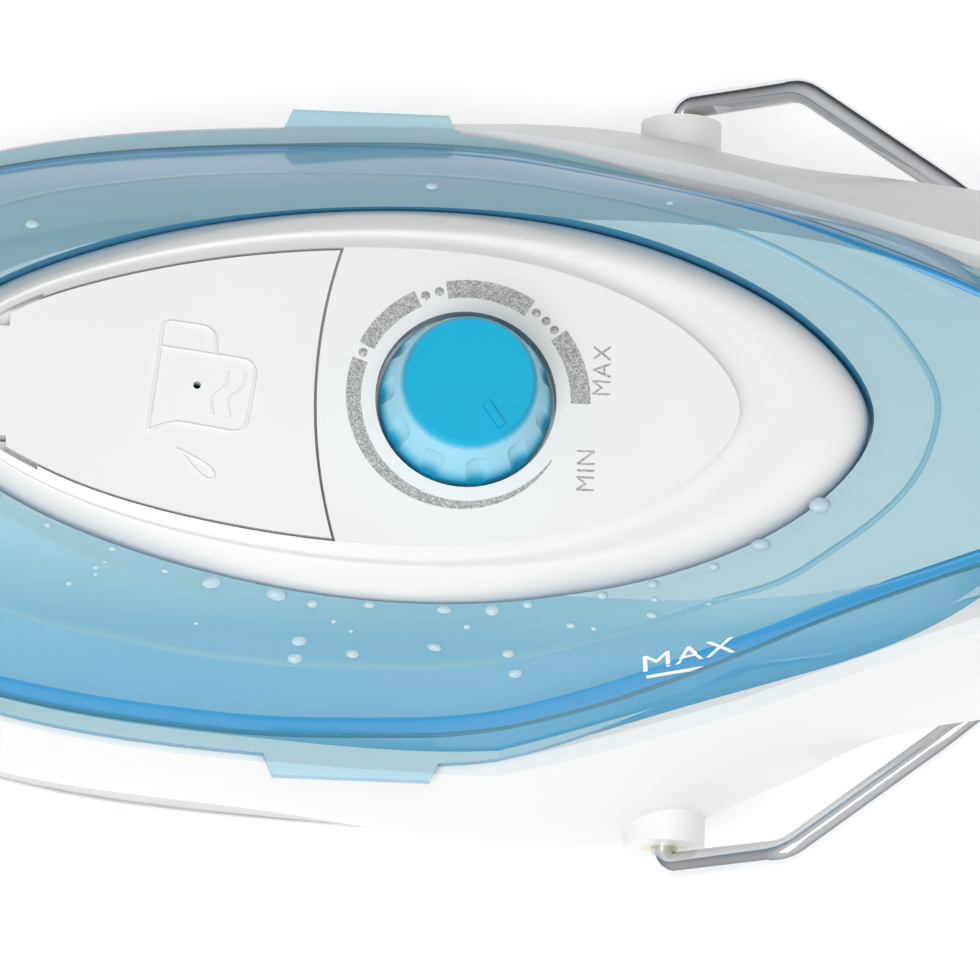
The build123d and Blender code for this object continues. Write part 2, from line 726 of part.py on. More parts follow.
# --- Every piece in its own file ------------------------------------------------------------
outer, hollow = housing_body(0), housing_body(wall)
room = tank_body(tank_wall)
element = heating_element()
handle = handle_shell()
pieces = {
    "soleplate": soleplate(),
    "heater_casting": heater_casting(element),
    "heating_element": element,
    "steam_chamber_cover": steam_chamber_cover(),
    "heat_shield_skirt": heat_shield_skirt(),
    "lower_housing": lower_housing(outer, hollow),
    "housing_deck": housing_deck(hollow),
    "sole_screws": Compound(children=sole_screws()),
    "valve_seat": valve_seat(),
    "feed_tube": feed_tube(),
    "thermostat_base": thermostat_base(),
    "thermostat_bracket": thermostat_bracket(),
    "bimetal_strip": bimetal_strip(),
    "thermal_fuse": thermal_fuse(),
    "dial_shaft": dial_shaft(),
    "dial_clip": dial_clip(),
    "temperature_dial": temperature_dial(),
    "water_tank": water_tank(room),
    "tank_floor": tank_floor(room),
    "outlet_valve": outlet_valve(),
    "control_cover": control_cover(),
    "fill_funnel": fill_funnel(),
    "fill_door": fill_door(),
    "door_hinge_pin": door_hinge_pin(),
    "door_seal": door_seal(),
    "wire_stand": wire_stand(),
    "stand_bush_left": stand_bush(-1),
    "stand_bush_right": stand_bush(1),
    "handle_upper_shell": handle_upper_shell(handle),
    "handle_lower_shell": handle_lower_shell(handle),
    "handle_screws": Compound(children=handle_screws()),
    "pilot_lens": pilot_lens(),
    "steam_trigger": steam_trigger(),
    "trigger_spring": trigger_spring(),
    "pump_plunger": pump_plunger(),
    "pump_body": pump_body(),
    "water_tube": water_tube(),
    "terminal_block": terminal_block(),
    "cord_gland": cord_gland(),
}
os.makedirs("parts", exist_ok=True)
for name, shape in pieces.items():
    export_step(shape, f"parts/{name}.step")
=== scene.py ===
import math
import random

import bmesh
import bpy
from mathutils import Matrix, Vector


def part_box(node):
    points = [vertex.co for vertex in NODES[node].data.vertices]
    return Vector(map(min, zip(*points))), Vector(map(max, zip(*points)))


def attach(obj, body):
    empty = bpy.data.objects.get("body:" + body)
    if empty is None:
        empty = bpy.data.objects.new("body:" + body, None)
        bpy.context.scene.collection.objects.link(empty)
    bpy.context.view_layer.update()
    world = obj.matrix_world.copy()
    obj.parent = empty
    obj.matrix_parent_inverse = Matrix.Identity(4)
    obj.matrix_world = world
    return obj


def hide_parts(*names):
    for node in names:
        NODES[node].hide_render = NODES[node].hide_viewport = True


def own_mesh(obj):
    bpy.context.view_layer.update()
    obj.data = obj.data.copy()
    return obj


# Looks of a steam iron: white housing, blue water tank, crowned control cover with a filling door,
# a fluted temperature dial, a chrome wire rest and a brushed sole. Metres, in the frame of the part:
# X to the rear, Y across, Z up, with the dial's axis on X = Y = 0.

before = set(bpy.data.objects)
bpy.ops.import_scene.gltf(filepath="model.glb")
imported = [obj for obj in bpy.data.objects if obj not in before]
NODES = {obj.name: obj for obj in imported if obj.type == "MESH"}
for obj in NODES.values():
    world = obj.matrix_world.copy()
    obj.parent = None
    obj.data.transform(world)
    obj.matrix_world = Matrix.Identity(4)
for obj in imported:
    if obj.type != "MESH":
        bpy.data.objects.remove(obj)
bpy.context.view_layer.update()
MM = 0.001

# --- Places taken from the frame ---------------------------------------------------------------
COVER_LOW, COVER_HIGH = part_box("control_cover")
COVER_TOP = COVER_HIGH.z
DIAL_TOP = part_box("temperature_dial")[1].z
DOOR_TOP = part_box("fill_door")[1].z
TANK = NODES["water_tank"]


# --- Camera, light and floor -------------------------------------------------------------------
VIEW_TARGET = Vector((4.1, -14.3, 68.0)) * MM
VIEW_RIGHT = Vector((1.0, 0.0269, 0.0582))
VIEW_UP = Vector((-0.0385, 0.967, 0.2523))
VIEW_DISTANCE = 2.2
VIEW_WIDTH = 0.1508
SENSOR = 36.0
FLOOR_DROP = 0.1 * MM      # keeps the floor and the sole from lying in one plane
FLOOR_SIZE = 8.0
FLOOR_GLOW = 0.34          # paper lit from below, so that it stays white away from the key light
# name, place, size and watts of each softbox
SOFTBOXES = (
    ("key_light", (-0.45, -0.62, 1.25), 0.7, 9.2),
    ("top_light", (0.25, -0.1, 1.5), 0.9, 4.4),
)
LIT_PLACE = (0.0, 0.0, 0.05)
ROOM_PALE_SIDE = (-0.1, -0.42, 0.9)
ROOM_GREY, ROOM_PALE = (0.12, 0.13, 0.15), (0.98, 0.99, 1.0)
ROOM_STRENGTH = 0.72


def make_camera():
    """A long lens looking down on the tank and the dial, a little from the near side and the nose."""
    right = VIEW_RIGHT.normalized()
    up = (VIEW_UP - right * VIEW_UP.dot(right)).normalized()
    back = right.cross(up)
    data = bpy.data.cameras.new("camera")
    data.sensor_width = SENSOR
    data.lens = SENSOR * VIEW_DISTANCE / VIEW_WIDTH
    data.clip_start, data.clip_end = 0.05, 20.0
    camera = bpy.data.objects.new("camera", data)
    bpy.context.scene.collection.objects.link(camera)
    turn = Matrix((right, up, back)).transposed().to_4x4()
    camera.matrix_world = Matrix.Translation(VIEW_TARGET + back * VIEW_DISTANCE) @ turn
    bpy.context.scene.camera = camera


def softbox(name, place, size, power):
    """A square studio light that faces the dial."""
    data = bpy.data.lights.new(name, "AREA")
    data.size = size
    data.energy = power
    light = bpy.data.objects.new(name, data)
    bpy.context.scene.collection.objects.link(light)
    light.location = place
    light.rotation_euler = (Vector(LIT_PLACE) - Vector(place)).to_track_quat("-Z", "Y").to_euler()


def make_light():
    """A large soft key from the near side of the nose, a weak fill, and a room that is pale
    overhead and grey on the far side, so that chrome has something to mirror."""
    for light in SOFTBOXES:
        softbox(*light)
    world = bpy.data.worlds.new("pale_room")
    world.use_nodes = True
    tree = world.node_tree
    towards = tree.nodes.new("ShaderNodeVectorMath")
    towards.operation = "DOT_PRODUCT"
    towards.inputs[1].default_value = ROOM_PALE_SIDE
    tree.links.new(tree.nodes.new("ShaderNodeTexCoord").outputs["Generated"], towards.inputs[0])
    pale = map_range(tree, towards.outputs["Value"], 0.0, 0.8, 0.0, 1.0)
    colour = mix_colour(tree, pale, ROOM_GREY, ROOM_PALE)
    background = tree.nodes["Background"]
    tree.links.new(colour, background.inputs["Color"])
    background.inputs["Strength"].default_value = ROOM_STRENGTH
    bpy.context.scene.world = world
    bpy.context.scene.view_settings.view_transform = "Standard"


# --- Shared shader effects ---------------------------------------------------------------------
def new_group(name, inputs, outputs):
    """An empty node group with named sockets."""
    group = bpy.data.node_groups.new(name, "ShaderNodeTree")
    for label, kind, value in inputs:
        socket = group.interface.new_socket(name=label, in_out="INPUT", socket_type=kind)
        socket.default_value = value
    for label, kind in outputs:
        group.interface.new_socket(name=label, in_out="OUTPUT", socket_type=kind)
    return group, group.nodes.new("NodeGroupInput"), group.nodes.new("NodeGroupOutput")


def noise(group, coordinates, detail, roughness=0.5):
    node = group.nodes.new("ShaderNodeTexNoise")
    node.inputs["Detail"].default_value = detail
    node.inputs["Roughness"].default_value = roughness
    group.links.new(coordinates, node.inputs["Vector"])
    return node


def map_range(tree, value, low, high, to_low, to_high):
    node = tree.nodes.new("ShaderNodeMapRange")
    tree.links.new(value, node.inputs["Value"])
    for label, end in (("From Min", low), ("From Max", high), ("To Min", to_low), ("To Max", to_high)):
        if isinstance(end, bpy.types.NodeSocket):
            tree.links.new(end, node.inputs[label])
        else:
            node.inputs[label].default_value = end
    return node.outputs["Result"]


def mix_colour(tree, factor, first, second):
    node = tree.nodes.new("ShaderNodeMix")
    node.data_type = "RGBA"
    for index, end in ((0, factor), (6, first), (7, second)):
        if isinstance(end, bpy.types.NodeSocket):
            tree.links.new(end, node.inputs[index])
        elif index == 0:
            node.inputs[index].default_value = end
        else:
            node.inputs[index].default_value = (*end, 1.0)
    return node.outputs[2]


def make_moulded_skin():
    """Fine texture of an injection mould: slow tone drift, patchy gloss and a tight grain."""
    group, inside, outside = new_group(
        "moulded_skin",
        [("Color", "NodeSocketColor", (0.8, 0.8, 0.8, 1.0)), ("Drift", "NodeSocketFloat", 0.04),
         ("Gloss Low", "NodeSocketFloat", 0.3), ("Gloss High", "NodeSocketFloat", 0.4),
         ("Grain Scale", "NodeSocketFloat", 2500.0)],
        [("Color", "NodeSocketColor"), ("Roughness", "NodeSocketFloat"), ("Height", "NodeSocketFloat")])
    place = group.nodes.new("ShaderNodeTexCoord").outputs["Object"]
    slow = noise(group, place, 2.0)
    slow.inputs["Scale"].default_value = 22.0
    patch = noise(group, place, 3.0)
    patch.inputs["Scale"].default_value = 140.0
    grain = noise(group, place, 2.0, 0.6)
    group.links.new(inside.outputs["Grain Scale"], grain.inputs["Scale"])
    shade = group.nodes.new("ShaderNodeHueSaturation")
    group.links.new(inside.outputs["Color"], shade.inputs["Color"])
    darker = group.nodes.new("ShaderNodeMath")
    darker.operation = "SUBTRACT"
    darker.inputs[0].default_value = 1.0
    group.links.new(inside.outputs["Drift"], darker.inputs[1])
    tone = map_range(group, slow.outputs["Fac"], 0.3, 0.7, darker.outputs[0], 1.0)
    group.links.new(tone, shade.inputs["Value"])
    low, high = inside.outputs["Gloss Low"], inside.outputs["Gloss High"]
    gloss = map_range(group, patch.outputs["Fac"], 0.3, 0.7, low, high)
    group.links.new(shade.outputs["Color"], outside.inputs["Color"])
    group.links.new(gloss, outside.inputs["Roughness"])
    group.links.new(grain.outputs["Fac"], outside.inputs["Height"])
    return group


def make_brushed_lines():
    """Hairlines that run along X, as a belt leaves them."""
    group, inside, outside = new_group(
        "brushed_lines",
        [("Color", "NodeSocketColor", (0.6, 0.6, 0.62, 1.0)), ("Line Scale", "NodeSocketFloat", 900.0),
         ("Gloss Low", "NodeSocketFloat", 0.2), ("Gloss High", "NodeSocketFloat", 0.42)],
        [("Color", "NodeSocketColor"), ("Roughness", "NodeSocketFloat"), ("Height", "NodeSocketFloat")])
    place = group.nodes.new("ShaderNodeTexCoord").outputs["Object"]
    stretch = group.nodes.new("ShaderNodeMapping")
    stretch.inputs["Scale"].default_value = (0.03, 1.0, 1.0)
    group.links.new(place, stretch.inputs["Vector"])
    lines = noise(group, stretch.outputs["Vector"], 4.0, 0.65)
    group.links.new(inside.outputs["Line Scale"], lines.inputs["Scale"])
    rubbed = noise(group, place, 3.0)
    rubbed.inputs["Scale"].default_value = 60.0
    low, high = inside.outputs["Gloss Low"], inside.outputs["Gloss High"]
    gloss = map_range(group, lines.outputs["Fac"], 0.3, 0.7, low, high)
    shade = group.nodes.new("ShaderNodeHueSaturation")
    group.links.new(inside.outputs["Color"], shade.inputs["Color"])
    group.links.new(map_range(group, rubbed.outputs["Fac"], 0.25, 0.75, 0.88, 1.05), shade.inputs["Value"])
    group.links.new(shade.outputs["Color"], outside.inputs["Color"])
    group.links.new(gloss, outside.inputs["Roughness"])
    group.links.new(lines.outputs["Fac"], outside.inputs["Height"])
    return group


def make_settled_dust():
    """A trace of dust on what faces up: it whitens the colour and dulls the gloss."""
    group, inside, outside = new_group(
        "settled_dust",
        [("Color", "NodeSocketColor", (0.8, 0.8, 0.8, 1.0)), ("Roughness", "NodeSocketFloat", 0.4),
         ("Dust Color", "NodeSocketColor", (0.75, 0.73, 0.7, 1.0)), ("Amount", "NodeSocketFloat", 0.1)],
        [("Color", "NodeSocketColor"), ("Roughness", "NodeSocketFloat")])
    facing = group.nodes.new("ShaderNodeSeparateXYZ")
    group.links.new(group.nodes.new("ShaderNodeNewGeometry").outputs["Normal"], facing.inputs[0])
    place = group.nodes.new("ShaderNodeTexCoord").outputs["Object"]
    specks = noise(group, place, 6.0, 0.7)
    specks.inputs["Scale"].default_value = 420.0
    up = map_range(group, facing.outputs["Z"], 0.2, 1.0, 0.0, 1.0)
    speck = map_range(group, specks.outputs["Fac"], 0.52, 0.8, 0.0, inside.outputs["Amount"])
    mask = group.nodes.new("ShaderNodeMath")
    mask.operation = "MULTIPLY"
    group.links.new(up, mask.inputs[0])
    group.links.new(speck, mask.inputs[1])
    colour = mix_colour(group, mask.outputs[0], inside.outputs["Color"], inside.outputs["Dust Color"])
    dull = group.nodes.new("ShaderNodeMath")
    dull.operation = "ADD"
    group.links.new(inside.outputs["Roughness"], dull.inputs[0])
    group.links.new(mask.outputs[0], dull.inputs[1])
    group.links.new(colour, outside.inputs["Color"])
    group.links.new(dull.outputs[0], outside.inputs["Roughness"])
    return group


MOULDED_SKIN = make_moulded_skin()
BRUSHED_LINES = make_brushed_lines()
SETTLED_DUST = make_settled_dust()


# --- Materials ---------------------------------------------------------------------------------
def new_material(name):
    material = bpy.data.materials.new(name)
    material.use_nodes = True
    return material, material.node_tree, material.node_tree.nodes["Principled BSDF"]


def place_group(tree, group, **values):
    node = tree.nodes.new("ShaderNodeGroup")
    node.node_tree = group
    for label, value in values.items():
        node.inputs[label.replace("_", " ")].default_value = value
    return node


def raise_grain(tree, shader, height, strength, depth):
    bump = tree.nodes.new("ShaderNodeBump")
    bump.inputs["Strength"].default_value = strength
    bump.inputs["Distance"].default_value = depth
    tree.links.new(height, bump.inputs["Height"])
    tree.links.new(bump.outputs["Normal"], shader.inputs["Normal"])


def moulded(name, colour, gloss, drift=0.03, grain=2500.0, bump=0.12, dust=0.0, specular=0.5):
    """Moulded plastic, rubber or ceramic: the mould's skin, with or without a little dust."""
    material, tree, shader = new_material(name)
    skin = place_group(tree, MOULDED_SKIN, Color=(*colour, 1.0), Drift=drift,
                       Gloss_Low=gloss - 0.04, Gloss_High=gloss + 0.06, Grain_Scale=grain)
    colour_out, gloss_out = skin.outputs["Color"], skin.outputs["Roughness"]
    if dust:
        layer = place_group(tree, SETTLED_DUST, Amount=dust)
        tree.links.new(colour_out, layer.inputs["Color"])
        tree.links.new(gloss_out, layer.inputs["Roughness"])
        colour_out, gloss_out = layer.outputs["Color"], layer.outputs["Roughness"]
    tree.links.new(colour_out, shader.inputs["Base Color"])
    tree.links.new(gloss_out, shader.inputs["Roughness"])
    shader.inputs["Specular IOR Level"].default_value = specular
    raise_grain(tree, shader, skin.outputs["Height"], bump, 0.00008)
    return material


def metal(name, colour, low, high, line_scale=900.0, bump=0.15):
    """Bare or plated metal with hairlines."""
    material, tree, shader = new_material(name)
    lines = place_group(tree, BRUSHED_LINES, Color=(*colour, 1.0), Gloss_Low=low, Gloss_High=high,
                        Line_Scale=line_scale)
    tree.links.new(lines.outputs["Color"], shader.inputs["Base Color"])
    tree.links.new(lines.outputs["Roughness"], shader.inputs["Roughness"])
    shader.inputs["Metallic"].default_value = 1.0
    raise_grain(tree, shader, lines.outputs["Height"], bump, 0.00004)
    return material


def make_tank_blue():
    """Clear tinted plastic: pale where it lies flat and deep blue where its walls stand up."""
    material, tree, shader = new_material("tank_blue")
    facing = tree.nodes.new("ShaderNodeSeparateXYZ")
    tree.links.new(tree.nodes.new("ShaderNodeNewGeometry").outputs["Normal"], facing.inputs[0])
    flat = tree.nodes.new("ShaderNodeMath")
    flat.operation = "ABSOLUTE"
    tree.links.new(facing.outputs["Z"], flat.inputs[0])
    steep = map_range(tree, flat.outputs[0], 0.97, 0.35, 0.0, 1.0)
    tint = mix_colour(tree, steep, (0.56, 0.84, 0.91), (0.10, 0.50, 0.80))
    skin = place_group(tree, MOULDED_SKIN, Drift=0.05, Gloss_Low=0.07, Gloss_High=0.14, Grain_Scale=900.0)
    tree.links.new(tint, skin.inputs["Color"])
    tree.links.new(skin.outputs["Color"], shader.inputs["Base Color"])
    tree.links.new(skin.outputs["Roughness"], shader.inputs["Roughness"])
    shader.inputs["Transmission Weight"].default_value = 0.4
    shader.inputs["IOR"].default_value = 1.49
    raise_grain(tree, shader, skin.outputs["Height"], 0.05, 0.00005)
    return material


def make_dial_blue():
    """One moulding in two tones: cyan on top and at the foot, milky blue round the flutes."""
    material, tree, shader = new_material("dial_blue")
    place = tree.nodes.new("ShaderNodeSeparateXYZ")
    tree.links.new(tree.nodes.new("ShaderNodeTexCoord").outputs["Object"], place.inputs[0])
    cap = map_range(tree, place.outputs["Z"], DIAL_TOP - 3.0 * MM, DIAL_TOP - 1.2 * MM, 0.0, 1.0)
    foot = map_range(tree, place.outputs["Z"], COVER_TOP, COVER_TOP + 3.2 * MM, 1.0, 0.0)
    body = mix_colour(tree, foot, (0.34, 0.72, 0.90), (0.02, 0.42, 0.66))
    tone = mix_colour(tree, cap, body, (0.0, 0.405, 0.64))
    skin = place_group(tree, MOULDED_SKIN, Drift=0.04, Gloss_Low=0.26, Gloss_High=0.36, Grain_Scale=2600.0)
    tree.links.new(tone, skin.inputs["Color"])
    tree.links.new(skin.outputs["Color"], shader.inputs["Base Color"])
    tree.links.new(skin.outputs["Roughness"], shader.inputs["Roughness"])
    shader.inputs["Specular IOR Level"].default_value = 0.2
    raise_grain(tree, shader, skin.outputs["Height"], 0.08, 0.00005)
    return material


FINISHES = {
    "white_plastic": moulded("white_plastic", (0.80, 0.80, 0.785), 0.34, dust=0.05),
    "skirt_plastic": moulded("skirt_plastic", (0.66, 0.66, 0.64), 0.48),
    "cream_nylon": moulded("cream_nylon", (0.78, 0.73, 0.6), 0.4),
    "seal_rubber": moulded("seal_rubber", (0.04, 0.04, 0.043), 0.62),
    "ceramic": moulded("ceramic", (0.78, 0.75, 0.68), 0.55),
    "lens_red": moulded("lens_red", (0.6, 0.02, 0.015), 0.14, bump=0.02),
    "sole_steel": metal("sole_steel", (0.62, 0.63, 0.65), 0.16, 0.34),
    "cast_aluminium": metal("cast_aluminium", (0.5, 0.5, 0.52), 0.4, 0.6, 300.0),
    "element_steel": metal("element_steel", (0.42, 0.42, 0.44), 0.3, 0.5),
    "chrome_wire": metal("chrome_wire", (0.72, 0.73, 0.75), 0.05, 0.12, 500.0, 0.05),
    "shaft_steel": metal("shaft_steel", (0.5, 0.5, 0.52), 0.25, 0.4),
    "feed_copper": metal("feed_copper", (0.72, 0.38, 0.22), 0.25, 0.42),
    "tank_blue": make_tank_blue(),
    "dial_blue": make_dial_blue(),
}


def finish_frame():
    """Every carried-over node takes the finish of its own slot."""
    for node in NODES.values():
        for slot in node.material_slots:
            slot.material = FINISHES[slot.material.name.split(".")[0]]


def make_floor():
    """A sheet of white paper under the sole."""
    bpy.ops.object.select_all(action="DESELECT")
    bpy.ops.mesh.primitive_plane_add(size=FLOOR_SIZE, location=(0, 0, -FLOOR_DROP))
    floor = bpy.context.object
    floor.name = "floor"
    paper = moulded("pale_floor", (0.88, 0.88, 0.88), 0.7)
    shader = paper.node_tree.nodes["Principled BSDF"]
    shader.inputs["Emission Color"].default_value = (1.0, 1.0, 1.0, 1.0)
    shader.inputs["Emission Strength"].default_value = FLOOR_GLOW
    floor.data.materials.append(paper)


# --- Modelling by hand -------------------------------------------------------------------------
def deselect():
    bpy.ops.object.select_all(action="DESELECT")


def start_edit(name):
    """Names the primitive just added and opens it for editing with nothing selected."""
    piece = bpy.context.object
    piece.name = name
    bpy.ops.object.mode_set(mode="EDIT")
    bpy.ops.mesh.select_all(action="DESELECT")
    return piece


def pick_edges(piece, test):
    """Selects the edges whose middle passes the test; places are the mesh's own."""
    bpy.ops.mesh.select_mode(type="EDGE")
    bpy.ops.mesh.select_all(action="DESELECT")
    shape = bmesh.from_edit_mesh(piece.data)
    for edge in shape.edges:
        middle = (edge.verts[0].co + edge.verts[1].co) / 2
        if test(edge, middle):
            edge.select_set(True)
    shape.select_flush_mode()
    bmesh.update_edit_mesh(piece.data)


def settle(piece, smooth_deg=35.0):
    """Leaves edit mode, puts the object's place into its mesh and smooths it."""
    if bpy.context.mode != "OBJECT":
        bpy.ops.object.mode_set(mode="OBJECT")
    deselect()
    piece.select_set(True)
    bpy.context.view_layer.objects.active = piece
    bpy.ops.object.transform_apply(location=True, rotation=True, scale=True)
    bpy.ops.object.shade_smooth_by_angle(angle=math.radians(smooth_deg))


def join(pieces, name):
    deselect()
    for piece in pieces:
        piece.select_set(True)
    bpy.context.view_layer.objects.active = pieces[0]
    bpy.ops.object.join()
    pieces[0].name = name
    return pieces[0]


def hand_over(piece, body, material):
    piece.data.materials.clear()
    piece.data.materials.append(material)
    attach(piece, body)


# --- Raised marks ------------------------------------------------------------------------------
CORNER_STEPS = 5


def rounded(points, radii):
    """A path through the points with each inner corner rounded off."""
    path = [Vector(points[0])]
    for before, corner, after, radius in zip(points, points[1:], points[2:], radii):
        corner = Vector(corner)
        start = corner + (Vector(before) - corner).normalized() * radius
        end = corner + (Vector(after) - corner).normalized() * radius
        for i in range(CORNER_STEPS + 1):
            t = i / CORNER_STEPS
            path.append(start * (1 - t) ** 2 + corner * 2 * t * (1 - t) + end * t * t)
    return path + [Vector(points[-1])]


def wire(points, radius, closed=False):
    """A round wire along the points, as a mesh."""
    curve = bpy.data.curves.new("wire", "CURVE")
    curve.dimensions = "3D"
    curve.bevel_depth = radius
    curve.bevel_resolution = 2
    curve.use_fill_caps = not closed
    spline = curve.splines.new("POLY")
    spline.points.add(len(points) - 1)
    for point, place in zip(spline.points, points):
        point.co = (*place, 1.0)
    spline.use_cyclic_u = closed
    line = bpy.data.objects.new("wire", curve)
    bpy.context.scene.collection.objects.link(line)
    deselect()
    line.select_set(True)
    bpy.context.view_layer.objects.active = line
    bpy.ops.object.convert(target="MESH")
    return bpy.context.object


def bead(path, radius, height, closed=False):
    """A raised line: a wire along the path, flattened and half sunk in the face it lies on."""
    line = wire([(place[0] * MM, place[1] * MM, 0.0) for place in path], radius, closed)
    line.scale.z = height / radius
    return line


JUG = [(-47.4, 6.4), (-32.3, 4.6), (-33.9, -7.0), (-45.0, -5.4), (-48.9, -7.1), (-47.4, 6.4)]
JUG_HANDLE = [(-47.4, 6.4), (-47.0, 10.6), (-38.9, 9.7), (-38.7, 5.5)]
STEAM_WAVE = [(-36.8, 2.8), (-36.9, 0.6), (-39.5, -1.6), (-38.9, -4.2)]
WAVE_STEP = Vector((2.6, -0.2))
DROP_TIP, DROP_END = Vector((-44.2, -9.7)), Vector((-38.5, -14.2))
DROP_FAT = 1.35
DROP_STEPS = 28
JUG_LINE = (0.34 * MM, 0.3 * MM)       # radius and height of the jug's raised line
THIN_LINE = (0.3 * MM, 0.24 * MM)      # the same for the waves and the drop


def drop_outline():
    """A leaning water drop: pointed at its tip and round at its foot."""
    along = DROP_END - DROP_TIP
    across = Vector((-along.y, along.x)).normalized()
    path = []
    for i in range(DROP_STEPS):
        angle = 2 * math.pi * i / DROP_STEPS
        reach = 0.5 - 0.5 * math.cos(angle)
        path.append(DROP_TIP + along * reach + across * DROP_FAT * math.sin(angle) * reach)
    return path


def make_door_emblem():
    """A jug, steam waves and a drop in low relief, to show where water goes in."""
    wave = rounded(STEAM_WAVE, (1.1, 1.1))
    lines = [
        bead(rounded(JUG, (2.6, 2.4, 2.0, 0.3)), *JUG_LINE),
        bead(rounded(JUG_HANDLE, (1.4, 2.4)), *JUG_LINE),
        bead(wave, *THIN_LINE),
        bead([place + WAVE_STEP for place in wave], *THIN_LINE),
        bead(drop_outline(), *THIN_LINE, closed=True),
    ]
    for line in lines:
        line.location.z = DOOR_TOP
        settle(line)
    emblem = join(lines, "door_emblem")
    hand_over(emblem, "door", FINISHES["white_plastic"])


# --- Printed legend ----------------------------------------------------------------------------
BAND_R = 16.2 * MM
BAND_WIDE = 2.9 * MM
BAND_THIN = 0.15 * MM
BAND_END = 326.0
BAND_DOTS = (41.0, 47.2, 53.5, 105.0, 112.3, 157.0)
BAND_RUNS = ((0.0, 37.5), (57.5, 101.0), (116.5, 153.0), (161.0, BAND_END))
DOT_R = 0.72 * MM
INK = 0.04 * MM
LEGEND_SIZE, LEGEND_SPREAD = 4.0 * MM, 0.92
LEGEND = (("MAX", 21.0, 5.4), ("MIN", 18.9, -10.6))


def band_width(degrees):
    return BAND_WIDE * (1 - (degrees / BAND_END) ** 2) ** 0.8 + BAND_THIN


def thicken():
    """Gives the flat strip open for editing the thickness of the ink."""
    bpy.ops.mesh.select_all(action="SELECT")
    bpy.ops.mesh.extrude_region_move(TRANSFORM_OT_translate={"value": (0, 0, INK)})
    bpy.ops.mesh.select_all(action="SELECT")
    bpy.ops.mesh.normals_make_consistent(inside=False)


def band_run(start, end):
    """One stretch of the heat band: a flat strip wrapped round the dial and tapered."""
    steps = max(6, round((end - start) / 2.5))
    bpy.ops.mesh.primitive_grid_add(x_subdivisions=steps, y_subdivisions=1, size=2.0)
    strip = start_edit("heat_band")
    for vertex in bmesh.from_edit_mesh(strip.data).verts:
        degrees = start + (end - start) * (vertex.co.x + 1) / 2
        reach = BAND_R + band_width(degrees) * (vertex.co.y + 1) / 2
        turn = math.radians(degrees)
        vertex.co = (reach * math.cos(turn), reach * math.sin(turn), 0.0)
    thicken()
    strip.location.z = COVER_TOP - INK / 2
    settle(strip)
    return strip


def band_dot(degrees):
    turn = math.radians(degrees)
    reach = BAND_R + band_width(degrees) / 2
    bpy.ops.mesh.primitive_cylinder_add(vertices=20, radius=DOT_R, depth=INK,
                                        location=(reach * math.cos(turn), reach * math.sin(turn), COVER_TOP))
    dot = start_edit("heat_dot")
    pick_edges(dot, lambda edge, middle: middle.z > 0 and edge.verts[0].co.z == edge.verts[1].co.z)
    bpy.ops.mesh.bevel(offset=INK / 3, segments=2)
    settle(dot)
    return dot


def lettering(words, size, spread, place, turn_deg):
    """Plain capitals as a thin raised print, centred on a place."""
    deselect()
    bpy.ops.object.text_add()
    text = bpy.context.object
    text.data.body = words
    text.data.size = size
    text.data.space_character = 1.1
    text.data.align_x, text.data.align_y = "CENTER", "CENTER"
    text.data.extrude = INK / 2
    text.data.resolution_u = 4
    bpy.ops.object.convert(target="MESH")
    print_ = bpy.context.object
    print_.scale.x = spread
    print_.rotation_euler.z = math.radians(turn_deg)
    print_.location = place
    settle(print_)
    return print_


def make_dial_legend():
    """Silver band that narrows from MAX round to MIN, with the rotary marks that break it."""
    parts = [band_run(*run) for run in BAND_RUNS] + [band_dot(degrees) for degrees in BAND_DOTS]
    for words, x, y in LEGEND:
        parts.append(lettering(words, LEGEND_SIZE, LEGEND_SPREAD, (x * MM, y * MM, COVER_TOP), 90.0))
    legend = join(parts, "dial_legend")
    hand_over(legend, "tank", make_silver_ink())


def make_silver_ink():
    """Sparkling ink: light and dark metal flakes in a grey binder."""
    material, tree, shader = new_material("silver_ink")
    place = tree.nodes.new("ShaderNodeTexCoord").outputs["Object"]
    flakes = tree.nodes.new("ShaderNodeTexVoronoi")
    flakes.inputs["Scale"].default_value = 5200.0
    tree.links.new(place, flakes.inputs["Vector"])
    tone = tree.nodes.new("ShaderNodeSeparateColor")
    tree.links.new(flakes.outputs["Color"], tone.inputs["Color"])
    bright = map_range(tree, tone.outputs["Red"], 0.15, 0.9, 0.0, 1.0)
    colour = mix_colour(tree, bright, (0.26, 0.26, 0.25), (0.56, 0.56, 0.54))
    tree.links.new(colour, shader.inputs["Base Color"])
    tree.links.new(map_range(tree, tone.outputs["Green"], 0.0, 1.0, 0.25, 0.6), shader.inputs["Roughness"])
    shader.inputs["Metallic"].default_value = 0.35
    raise_grain(tree, shader, tone.outputs["Blue"], 0.5, 0.00004)
    return material


# --- Fill mark on the tank ---------------------------------------------------------------------
MARK_SIZE, MARK_SPREAD = 2.6 * MM, 2.5
MARK_PLACE, MARK_TURN = (35.8 * MM, -36.8 * MM, 0.0), 12.0
RULE_SIZE, RULE_PLACE, RULE_TURN = (9.4 * MM, 0.3 * MM), (34.4 * MM, -38.7 * MM), 10.0


